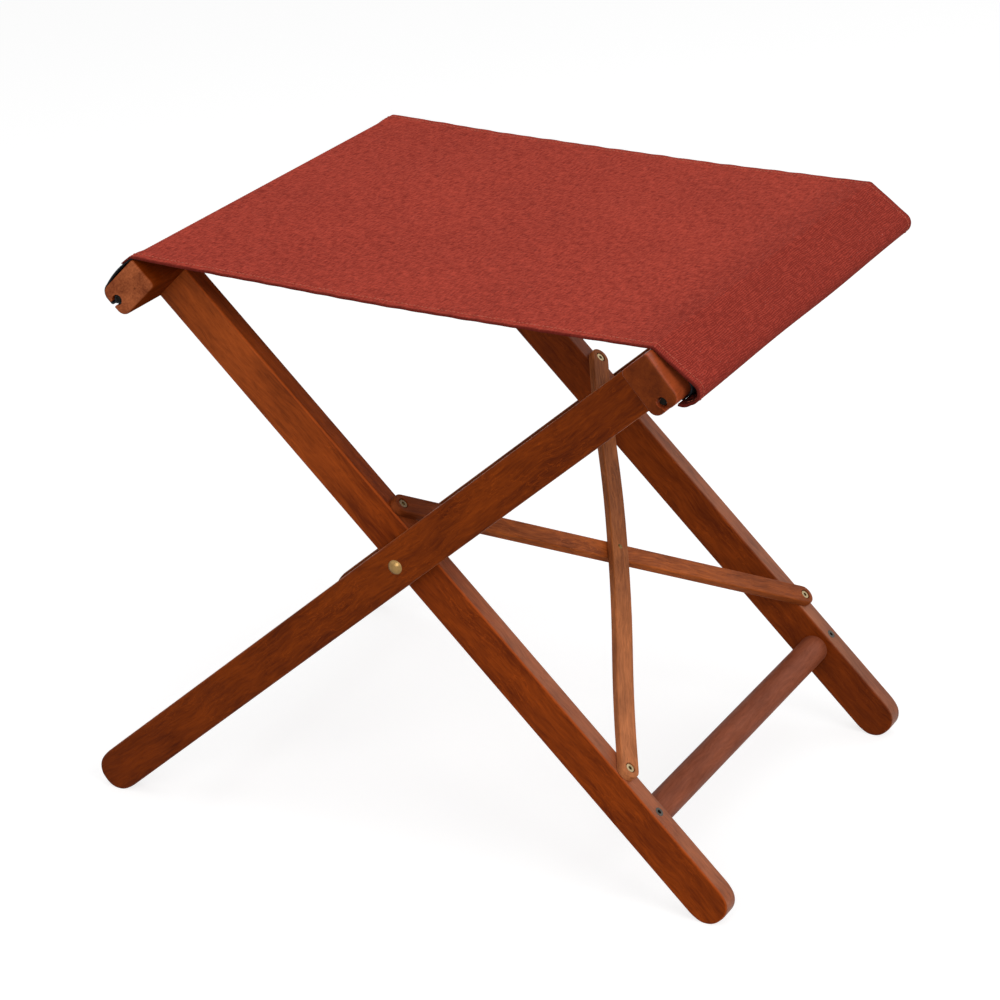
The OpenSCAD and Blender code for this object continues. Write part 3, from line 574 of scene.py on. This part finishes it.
def sleeve_line(bow_height, sag):
    """The middle of the webbing in its rail's own frame: over the rail, in and round the rod."""
    top = arc(SEAT_C, SEAT_R + WEB_OFF, SEAT_TURN, 0)
    way = LEG_ANGLE - math.atan(2 * sag / SEAT_X)
    tuck = top[0] + TUCK * np.array([-math.cos(way), math.sin(way)])
    bow = bowed(np.linspace(SEAT_C[1], OUTER_C[1], 22)[1:-1], WEB_OFF, bow_height)
    corner = arc(OUTER_C, OUTER_R + WEB_OFF, 0, -90)
    turn_c = (RAIL_AT + LANE + LANE_TURN_R, RAIL_OUT - WEB_OFF + LANE_TURN_R)
    turn = arc(turn_c, LANE_TURN_R, -90, -180, 15)
    ring = arc((RAIL_AT, BORE_N), RING_R, RING_START, RING_END, 12)
    lane = np.linspace(turn[-1], ring[0], 5)[1:-1]
    out = np.linspace(ring[-1], (RAIL_AT - LANE, RAIL_OUT + LANE_END), 5)[1:]
    return np.concatenate([np.linspace(tuck, top[0], 5)[:-1], top, bow, corner, turn, lane, ring, out])


def even_out(line, steps):
    """The line resampled so that no step is longer than the given one, corners kept."""
    result = [line[0]]
    for a, b in zip(line[:-1], line[1:]):
        count = max(1, int(math.ceil(np.linalg.norm(b - a) / steps)))
        result += [a + (b - a) * (i + 1) / count for i in range(count)]
    return np.array(result)


def line_length(line):
    return np.concatenate([[0], np.cumsum(np.linalg.norm(np.diff(line, axis=0), axis=1))])


def line_normals(line):
    """Unit normals in X and Z, on the left of the way the line runs."""
    d = np.gradient(line, axis=0)
    n = np.stack([-d[:, 1], d[:, 0]], 1)
    return n / np.linalg.norm(n, axis=1)[:, None]


def waves(a, b, rows, seed):
    """Smooth waviness of about unit height from a few sines over two coordinates."""
    random = np.random.default_rng(seed)
    total = np.zeros(np.broadcast(a, b).shape)
    for length_a, length_b in rows:
        phase = random.uniform(0, 2 * math.pi, 2)
        total += np.sin(2 * math.pi * a / length_a + phase[0]) * np.cos(
            2 * math.pi * b / length_b + phase[1])
    return total / math.sqrt(len(rows))


def make_mesh(name, points, faces, attributes=None):
    mesh = bpy.data.meshes.new(name)
    mesh.from_pydata([tuple(p) for p in points], [], [tuple(f) for f in faces])
    mesh.validate()
    for label, (kind, values) in (attributes or {}).items():
        layer = mesh.attributes.new(label, kind, "POINT")
        field = "vector" if kind == "FLOAT_VECTOR" else "value"
        layer.data.foreach_set(field, np.asarray(values, np.float32).ravel())
    mesh.polygons.foreach_set("use_smooth", [True] * len(mesh.polygons))
    mesh.update()
    piece = bpy.data.objects.new(name, mesh)
    bpy.context.scene.collection.objects.link(piece)
    return piece


def grid_faces(rows, columns, first=0, flip=False):
    i, j = np.meshgrid(np.arange(rows - 1), np.arange(columns - 1), indexing="ij")
    a = first + i * columns + j
    quads = np.stack([a, a + columns, a + columns + 1, a + 1], -1).reshape(-1, 4)
    return quads[:, ::-1] if flip else quads


def thick_cloth(name, middle, thickness, attributes):
    """A closed cloth of even thickness round a grid of middle points, with square-cut edges."""
    rows, columns = middle.shape[:2]
    du, dv = np.gradient(middle, axis=0), np.gradient(middle, axis=1)
    normal = np.cross(du, dv)
    normal /= np.linalg.norm(normal, axis=2)[..., None]
    top, under = middle + normal * thickness / 2, middle - normal * thickness / 2
    points = np.concatenate([top.reshape(-1, 3), under.reshape(-1, 3)])
    half = rows * columns
    faces = [grid_faces(rows, columns), grid_faces(rows, columns, half, True)]
    index = np.arange(half).reshape(rows, columns)
    rim = np.concatenate([index[:, 0], index[-1, 1:], index[-2::-1, -1], index[0, -2:0:-1]])
    after = np.roll(rim, -1)
    faces.append(np.stack([rim, rim + half, after + half, after], 1))
    doubled = {label: (kind, np.concatenate([values.reshape(half, -1)] * 2))
               for label, (kind, values) in attributes.items()}
    return make_mesh(name, points, np.concatenate(faces), doubled)


class Sling:
    """The canvas as a grid: rows run along the sling's path, columns across it with the hems."""

    def __init__(self, sizes):
        self.sizes = sizes
        self.line = even_out(sling_line(sizes.seat_sag), CANVAS_STEP)
        self.along = line_length(self.line)
        self.normals = line_normals(self.line)
        self.half = (sizes.sling_back_right - sizes.sling_front_right) / 2

    def columns(self):
        """Across the cloth: where each column lies, how far below the face, its cloth length."""
        reach, fold = self.half - FOLD_R, FOLD_R
        hem = np.linspace(reach - self.sizes.hem_width, reach, 6)[:-1]
        bend = np.radians(np.linspace(-90, 90, 7))
        low = [(y, -2 * fold) for y in hem]
        turn = [(reach + fold * math.cos(a), -fold + fold * math.sin(a)) for a in bend]
        edge = reach - np.array([1.5, 3, 5, 7, 9.5, 12.5]) * MM
        inner = np.linspace(edge[-1], 0, 54)[1:]
        side = np.array(low + turn + [(y, 0.0) for y in [*edge, *inner]])
        other = side[-2::-1] * (-1, 1)
        across = np.concatenate([side, other])
        length = line_length(across)
        return across, length - length.mean()

    def shape(self, across, along, line, normals):
        """Points of the cloth in the row frame, with its small waves."""
        y, drop = across[:, 0][None, :], across[:, 1][None, :]
        u = along[:, None]
        x, z = line[:, 0][:, None], line[:, 1][:, None]
        nx, nz = normals[:, 0][:, None], normals[:, 1][:, None]
        span = np.clip((SPAN_END - np.abs(x)) / SPAN_FADE, 0, 1) * (z > SEAT_Z - SPAN_DROP)
        wide = waves(u, y, ((0.19, 0.31), (0.11, 0.23), (0.29, 0.17)), CLOTH_SEED) * WAVE_H
        edge = np.exp(-(self.half - np.abs(y)) / EDGE_REACH)
        pucker = waves(u, y, ((0.021, 3.0), (0.034, 2.0)), CLOTH_SEED + 1) * PUCKER_H * edge
        slack = waves(u, y, ((0.8, 0.16), (0.9, 0.27)), CLOTH_SEED + 2) * SLACK_H
        loop = np.clip((SEAT_Z - LOOP_DROP - z) / 0.01, 0, 1)
        loop = loop * np.clip((self.along[-1] - u) / EDGE_REACH, 0, 1)
        centre = 1 - np.clip((np.abs(y) - self.half + HEM_REACH) / HEM_FADE, 0, 1)
        rest = (1 - span) * (x < 0)
        press = self.pressed(u)
        lift = drop * (1 - 0.5 * press) + wide * span + pucker * (0.4 + 0.6 * span) + slack * loop
        lift = lift - HEM_STEP * centre * rest
        wander = waves(u, 0 * y, ((0.13, 1.0), (0.07, 1.0), (0.031, 1.0)), CLOTH_SEED + 3) * WANDER_H
        side = np.sign(y) * wander * edge * (0.3 + 0.7 * span)
        px, py, pz = x + nx * lift, self.placed(x, y) + side, z + nz * lift
        return np.stack([px, py, pz], -1)

    @staticmethod
    def pressed(u):
        """How far the cloth is pressed flat towards the sewn end of its lap."""
        return np.clip(1 - u / PRESSED_TO, 0, 1)

    def placed(self, x, y):
        """Y in the stool of a place across the cloth, whose edges slant from rail to rail."""
        sizes = self.sizes
        left = np.clip((SEAT_X - x) / (2 * SEAT_X), 0, 1)
        front = sizes.sling_front_right + (sizes.sling_front_left - sizes.sling_front_right) * left
        back = sizes.sling_back_right + (sizes.sling_back_left - sizes.sling_back_right) * left
        share = np.clip((y + self.half - EVEN_EDGE) / (2 * (self.half - EVEN_EDGE)), 0, 1)
        return front + y + self.half + share * (back - front - 2 * self.half)

    def sheet(self):
        across, length = self.columns()
        middle = self.shape(across, self.along, self.line, self.normals)
        u = np.broadcast_to(self.along[:, None], middle.shape[:2])
        v = np.broadcast_to(length[None, :], middle.shape[:2])
        place = np.stack([u, v, 0 * u], -1)
        x = middle[..., 0]
        # Ribs near the right rail, where the cloth is also painted darker as shade
        ribbed_shade = np.clip((x - RIBS_FROM) / RIBS_OVER, 0, 1)
        wide = length[-1] - length[0]
        # The fold and the hem under it, painted darker as shade
        edge = self.half - np.abs(across[:, 0]) + across[:, 1] * 2.5
        folded = np.where(across[:, 1] < -1e-5, 1.0, np.clip(1 - edge / FOLD_SHADE, 0, 1))
        folded = np.broadcast_to(folded[None, :], middle.shape[:2])
        attributes = {"cloth_at": ("FLOAT_VECTOR", place), "ribbed_shade": ("FLOAT", ribbed_shade),
                      "folded": ("FLOAT", folded)}
        return middle, attributes, (wide, self.along[-1])

    def spot(self, u, y, depth):
        """A point of the cloth at path length u and place y, at a depth below its face."""
        line = np.stack([np.interp(u, self.along, self.line[:, k]) for k in (0, 1)], 1)
        normals = np.stack([np.interp(u, self.along, self.normals[:, k]) for k in (0, 1)], 1)
        normals /= np.linalg.norm(normals, axis=1)[:, None]
        flat = self.shape(np.array([[y, 0.0]]), u, line, normals)[:, 0]
        outward = np.stack([normals[:, 0], 0 * u, normals[:, 1]], 1)
        return flat - outward * depth, outward


def tubes(name, runs, radius, sides=6):
    """Stitches: each run is a few centre points with their upward directions."""
    points, faces = [], []
    turn = 2 * math.pi * np.arange(sides) / sides
    for centres, ups in runs:
        first = len(points)
        way = np.gradient(centres, axis=0)
        way /= np.linalg.norm(way, axis=1)[:, None]
        out = np.cross(way, ups)
        out /= np.linalg.norm(out, axis=1)[:, None]
        up = np.cross(out, way)
        shares = np.sin(np.linspace(0.18, math.pi - 0.18, len(centres))) ** 0.5
        for c, o, w, k in zip(centres, out, up, shares):
            ring = c + radius * k * (np.cos(turn)[:, None] * o + np.sin(turn)[:, None] * w)
            points += list(ring)
        count = len(centres)
        for i in range(count - 1):
            for j in range(sides):
                a, b = first + i * sides + j, first + i * sides + (j + 1) % sides
                faces.append((a, b, b + sides, a + sides))
        faces.append(tuple(first + j for j in range(sides))[::-1])
        faces.append(tuple(first + (count - 1) * sides + j for j in range(sides)))
    return make_mesh(name, points, faces)


def stitch_marks(sizes):
    """Lengths along one stitch at which its five centre points lie."""
    return np.linspace(0.06, 0.94, 5) * sizes.stitch_length * STITCH_SHARE


def stitch_hump(rise):
    """Heights of a stitch's five centre points, its ends sunk into the cloth."""
    return (np.sin(np.linspace(0, math.pi, 5)) * rise - STITCH_SUNK * rise)[:, None]


def stitch_row(sling, y, start, end, depth, rise):
    """A row of stitches along the sling's path, on its face or under its hem."""
    runs = []
    step = sling.sizes.stitch_length
    for u in np.arange(start, end - step, step):
        points, up = sling.spot(u + stitch_marks(sling.sizes), y, depth)
        runs.append((points + up * stitch_hump(rise), up))
    return runs


def cross_row(sling, u, depth, rise):
    """A row of stitches across the sling, parallel to the rails."""
    runs = []
    step = sling.sizes.stitch_length
    reach = sling.half - SEAM_INSET
    for y0 in np.arange(-reach, reach - step, step):
        found = [sling.spot(np.array([u]), y, depth) for y in y0 + stitch_marks(sling.sizes)]
        points = np.array([place[0] for place, _ in found])
        up = np.array([outward[0] for _, outward in found])
        runs.append((points + up * stitch_hump(rise), up))
    return runs


def across_joint(piece):
    """The sling crosses the hinge, so it is set on neither frame: its placement is baked into its mesh.
    """
    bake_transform(piece)


# Operators


class STOOL_OT_wood(bpy.types.Operator):
    """Stain and varnish the legs, rails, stretchers and cross braces"""
    bl_idname = "stool.wood"
    bl_label = "Finish the wood"

    def execute(self, context):
        c = context.scene.stool_colours
        angle = math.degrees(LEG_ANGLE)
        outer, inner = [("y", angle)], [("y", 180 - angle)]
        # Painted highlights for the legs' narrow faces, each with its share
        inner_leg_highlight, outer_leg_highlight = (tuple(c.wood_narrow_highlight), 0.36), (tuple(c.wood_outer_highlight), 0.36)
        boards = (
            # Painted highlight on the narrow faces; the board also turns darker towards its foot
            ("outer_leg_front", outer, (0.13, 0.02, 0.05), (0.95, 0.97, 0.72), outer_leg_highlight,
             {"fades": [(-0.1, -0.25, 0.34, (0.085, 0.0110, 0.0006), 1)], "coat": 0.02}),
            # Painted shade: this far leg, in the canvas's shadow, has a darker tint; painted highlight
            # on its narrow faces
            ("outer_leg_back", outer, (1.21, 0.31, 0.17), (0.60, 0.69, 0.8), outer_leg_highlight, {"coat": 0.02}),
            # Painted highlight on the narrow faces from the middle down and on the rounded edges; the
            # upper part turns lighter and browner, its narrow face less so, which paints shade there
            # under the canvas
            ("inner_leg_front", inner, (2.37, 0.44, 0.29), (1.2, 1.2, 1.1), inner_leg_highlight,
             {"fades": [(-0.02, -0.16, 0.55, (0.37, 0.0790, 0.0165), 0.6)],
              "highlight_from": (-0.02, 0.08), "arris_highlight": 0.5}),
            # Painted highlight on the narrow faces from the middle down; painted shade at both ends, at
            # the top under the canvas and towards the foot
            ("inner_leg_back", inner, (3.11, 0.58, 0.38), (1.16, 1.22, 1.2), inner_leg_highlight,
             {"fades": [(0.12, 0.24, 0.42, PAINTED_SHADE, 1), (0.06, -0.04, 0.38, PAINTED_SHADE, 1)],
              "highlight_from": (-0.05, 0.09)}),
            # Painted shade: the rail's long faces take a dark tone in place of most of their own
            ("left_rail", inner + [("z", -90)], (0.71, 0.83, 0.47), (1.8, 3.0, 13.0),
             ((0.16, 0.022, 0.001), 0.9), {"knot": KNOT, "coat": 0.0, "flecks": 0.3, "gloss": 0.0}),
            # Painted light: the rail's long faces take a lighter orange tone, for its lit top
            ("right_rail", outer + [("z", -90)], (1.93, 0.97, 0.55), (0.79, 0.9, 1.6),
             ((0.56, 0.1, 0.03), 0.4), {"coat": 0.22, "flecks": 0.3, "lines": 0.4}),
        )
        for node, turns, offset, tint, narrow_lighting, more in boards:
            dark, light = toned(c.wood_dark, tint), toned(c.wood_light, tint)
            finish_nodes(wood(node + "_wood", turns, offset, dark, light, narrow_lighting, **more), node)
        for node, sign, offset, tint, fades in (
                # Painted shade towards both ends of this brace
                ("brace_straight", 1, (0.4, 1.1, 0.6), (1.08, 1.05, 0.9),
                 [(0.04, 0.0, 0.75, PAINTED_SHADE, 1), (0.13, 0.2, 0.55, PAINTED_SHADE, 1)]),
                # Painted light on this brace's lower part, with a pinker tone of its own there
                ("brace_bowed", -1, (1.4, 1.3, 0.7), (0.9, 1.1, 1.3),
                 [(0.09, 0.17, 0.38, (0.64, 0.230, 0.0950), 1)])):
            turns = inner + [("z", sign * BRACE_TURN)]
            dark, light = toned(c.brace_dark, tint), toned(c.brace_light, tint)
            made = wood(node + "_wood", turns, offset, dark, light, fades=fades, roughness=0.55,
                        figure=0.75, lines=0.6, pores=0.4, flecks=0.6, coat=0.03)
            finish_nodes(made, node)
        for node, turns, offset in (("outer_stretcher", outer, (0.9, 1.5, 0.8)),
                                    ("inner_stretcher", inner, (2.2, 1.7, 0.9))):
            made = wood(node + "_wood", turns + [("z", -90)], offset, tuple(c.stretcher_dark),
                        tuple(c.stretcher_light), roughness=0.58, figure=0.8, lines=0.5, pores=0.3,
                        flecks=0.3, coat=0.05)
            finish_nodes(made, node)
        return {"FINISHED"}


class STOOL_OT_metal(bpy.types.Operator):
    """Finish the bolts, nuts, washers, screws, rivet and rods"""
    bl_idname = "stool.metal"
    bl_label = "Finish the metal"

    def execute(self, context):
        c = context.scene.stool_colours
        for name, colour, roughness, nodes in (
                ("worn_brass", toned(c.brass, 1), 0.34,
                 ("pivot_bolt_front", "pivot_bolt_back", "pivot_spacers", "nut_washers", "cap_nuts")),
                ("aged_brass", toned(c.brass, 0.7), 0.6, ("brace_rivet",)),
                ("bright_brass", toned(c.screw_brass, 1), 0.3, ("brace_screws",)),
                ("dark_steel", toned(c.steel, 1), 0.42,
                 ("outer_stretcher_screws", "inner_stretcher_screws")),
                ("blackened_steel", toned(c.steel, 0.2), 0.55, ("left_rod", "right_rod"))):
            finish_nodes(metal(name, colour, roughness), *nodes)
        return {"FINISHED"}


class STOOL_OT_canvas(bpy.types.Operator):
    """Make the hemmed canvas seat with its lap and its slack loop"""
    bl_idname = "stool.canvas"
    bl_label = "Make the canvas seat"

    def execute(self, context):
        scene = context.scene
        sling = Sling(scene.stool_sizes)
        middle, attributes, flat = sling.sheet()
        thickness = sling.sizes.canvas_thickness * (1 - 0.4 * sling.pressed(sling.along))
        piece = thick_cloth("canvas_seat", middle, thickness[:, None, None], attributes)
        piece.data.materials.append(canvas_material(scene.stool_colours))
        across_joint(piece)
        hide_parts("seat_sling")
        print("canvas cut to %.3f by %.3f m" % flat)
        inset = sling.half - sling.sizes.stitch_inset
        end = sling.along[-1] - SEAM_SHORT
        t = sling.sizes.canvas_thickness / 2
        under = 2 * FOLD_R + t
        runs = []
        for side in (-1, 1):
            runs += stitch_row(sling, side * inset, SEAM_FROM, end, -t, FACE_RISE)
            runs += stitch_row(sling, side * inset, SEAM_FROM, end, under, -STITCH_RISE)
        for u in (*LAP_SEAMS, sling.along[-1] - LOOP_SEAM):
            runs += cross_row(sling, u, -t, STITCH_RISE)
        seams = tubes("canvas_stitching", runs, sling.sizes.thread_diameter / 2)
        seams.data.materials.append(thread_material(scene.stool_colours.thread))
        across_joint(seams)
        return {"FINISHED"}


class STOOL_OT_webbing(bpy.types.Operator):
    """Make the black webbing that holds the sling in both grooves"""
    bl_idname = "stool.webbing"
    bl_label = "Make the webbing"

    def execute(self, context):
        scene = context.scene
        sizes = scene.stool_sizes
        material = webbing_material(scene.stool_colours)
        for name, side, body, node, rests, bow, front, back, setback in (
                ("webbing_left", -1, "inner_frame", "left_sleeve", ["left_rod", "left_rail"],
                 BOW_LEFT, sizes.sling_front_left, sizes.sling_back_left, sizes.webbing_setback_left),
                ("webbing_right", 1, "outer_frame", "right_sleeve", ["right_rod", "right_rail"],
                 BOW_RIGHT, sizes.sling_front_right, sizes.sling_back_right,
                 sizes.webbing_setback_right)):
            line = even_out(standing(sleeve_line(bow, sizes.seat_sag), side), WEBBING_STEP)
            if side < 0:
                line = line[::-1]
            along, normals = line_length(line), line_normals(line)
            front, back = front + setback, back - setback
            u, v = np.meshgrid(along, np.linspace(front, back, 93), indexing="ij")
            inside = np.exp(-np.minimum(v - front, back - v) / 0.01)
            lift = waves(u, v, ((0.05, 0.09), (0.08, 0.21)), CLOTH_SEED + 5) * 0.00008
            lift += waves(u, v, ((9.0, 0.013),), CLOTH_SEED + 6) * 0.00006 * inside
            middle = np.stack([line[:, 0][:, None] + normals[:, 0][:, None] * lift, v,
                               line[:, 1][:, None] + normals[:, 1][:, None] * lift], -1)
            place = np.stack([v, u, 0 * u], -1)
            piece = thick_cloth(name, middle, sizes.webbing_thickness,
                                {"cloth_at": ("FLOAT_VECTOR", place)})
            piece.data.materials.append(material)
            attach(piece, body)
            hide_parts(node)
            print("%s cut to %.3f by %.3f m" % (name, back - front, along[-1]))
        return {"FINISHED"}


def area_lamp(name, place, aim, size, power):
    lamp = bpy.data.lights.new(name, "AREA")
    lamp.shape, lamp.size, lamp.energy = "SQUARE", size, power
    piece = bpy.data.objects.new(name, lamp)
    bpy.context.scene.collection.objects.link(piece)
    piece.location = place
    piece.rotation_euler = (Vector(aim) - Vector(place)).to_track_quat("-Z", "Y").to_euler()


class STOOL_OT_stage(bpy.types.Operator):
    """Set the pale floor, the soft lamps, the surroundings and the camera"""
    bl_idname = "stool.stage"
    bl_label = "Set the stage"

    def execute(self, context):
        scene = context.scene
        scene.view_settings.view_transform = "Standard"
        corners = [(x * FLOOR_HALF, y * FLOOR_HALF, 0) for x, y in ((-1, -1), (1, -1), (1, 1), (-1, 1))]
        floor = make_mesh("floor", corners, [(0, 1, 2, 3)])
        made = bpy.data.materials.new("pale_floor")
        made.use_nodes = True
        tree = made.node_tree
        tree.nodes.clear()
        seen = self.seen_rays(tree)
        matt = put(tree, "BsdfDiffuse", {0: (FLOOR_GREY, FLOOR_GREY, FLOOR_GREY, 1)})
        shine = maths(tree, "MULTIPLY", seen, FLOOR_GLOW)
        glow = put(tree, "Emission", {0: (1, 1, 1, 1), 1: shine})
        both = put(tree, "AddShader", {0: matt.outputs[0], 1: glow.outputs[0]})
        tree.links.new(both.outputs[0], put(tree, "OutputMaterial").inputs[0])
        floor.data.materials.append(made)
        world = bpy.data.worlds.new("soft_room")
        scene.world = world
        world.use_nodes = True
        tree = world.node_tree
        tree.nodes.clear()
        seen = self.seen_rays(tree)
        strength = ramped(tree, seen, 0.0, 1.0, ROOM_LIGHT, ROOM_SEEN)
        back = put(tree, "Background", {0: (1, 1, 1, 1), 1: strength})
        tree.links.new(back.outputs[0], put(tree, "OutputWorld").inputs[0])
        for lamp in LAMPS:
            area_lamp(*lamp)
        self.camera(scene)
        return {"FINISHED"}

    @staticmethod
    def seen_rays(tree):
        """1 for the rays that show the background: camera, glossy and transmission rays."""
        path = put(tree, "LightPath").outputs
        some = maths(tree, "ADD", path["Is Camera Ray"], path["Is Glossy Ray"])
        return maths(tree, "ADD", some, path["Is Transmission Ray"], True)

    @staticmethod
    def camera(scene):
        yaw, pitch, roll = CAMERA_YAW, CAMERA_PITCH, CAMERA_ROLL
        forward = Vector((math.sin(yaw) * math.cos(pitch), math.cos(yaw) * math.cos(pitch),
                          math.sin(pitch)))
        right = Vector((math.cos(yaw), -math.sin(yaw), 0))
        up = right.cross(forward)
        right, up = (right * math.cos(roll) + up * math.sin(roll),
                     up * math.cos(roll) - right * math.sin(roll))
        made = bpy.data.cameras.new("camera")
        made.sensor_width, made.lens = 36, CAMERA_LENS
        made.clip_start, made.clip_end = 0.1, 100
        piece = bpy.data.objects.new("camera", made)
        scene.collection.objects.link(piece)
        turn = Matrix((right, up, -forward)).transposed()
        piece.matrix_world = Matrix.Translation(CAMERA_AT) @ turn.to_4x4()
        scene.camera = piece


class STOOL_PT_panel(bpy.types.Panel):
    bl_label = "Folding sling stool"
    bl_idname = "STOOL_PT_panel"
    bl_space_type = "VIEW_3D"
    bl_region_type = "UI"
    bl_category = "Stool"

    def draw(self, context):
        for made in OPERATORS:
            self.layout.operator(made.bl_idname)
        for group in (context.scene.stool_sizes, context.scene.stool_colours):
            box = self.layout.box()
            for label in group.__annotations__:
                box.prop(group, label)


OPERATORS = (STOOL_OT_wood, STOOL_OT_metal, STOOL_OT_canvas, STOOL_OT_webbing, STOOL_OT_stage)
CLASSES = (StoolSizes, StoolColours, *OPERATORS, STOOL_PT_panel)


def register():
    for made in CLASSES:
        bpy.utils.register_class(made)
    bpy.types.Scene.stool_sizes = bpy.props.PointerProperty(type=StoolSizes)
    bpy.types.Scene.stool_colours = bpy.props.PointerProperty(type=StoolColours)


def unregister():
    del bpy.types.Scene.stool_sizes
    del bpy.types.Scene.stool_colours
    for made in reversed(CLASSES):
        bpy.utils.unregister_class(made)


def main():
    register()
    bpy.ops.stool.stage()
    bpy.ops.stool.wood()
    bpy.ops.stool.metal()
    bpy.ops.stool.webbing()
    bpy.ops.stool.canvas()


if __name__ == "__main__":
    main()
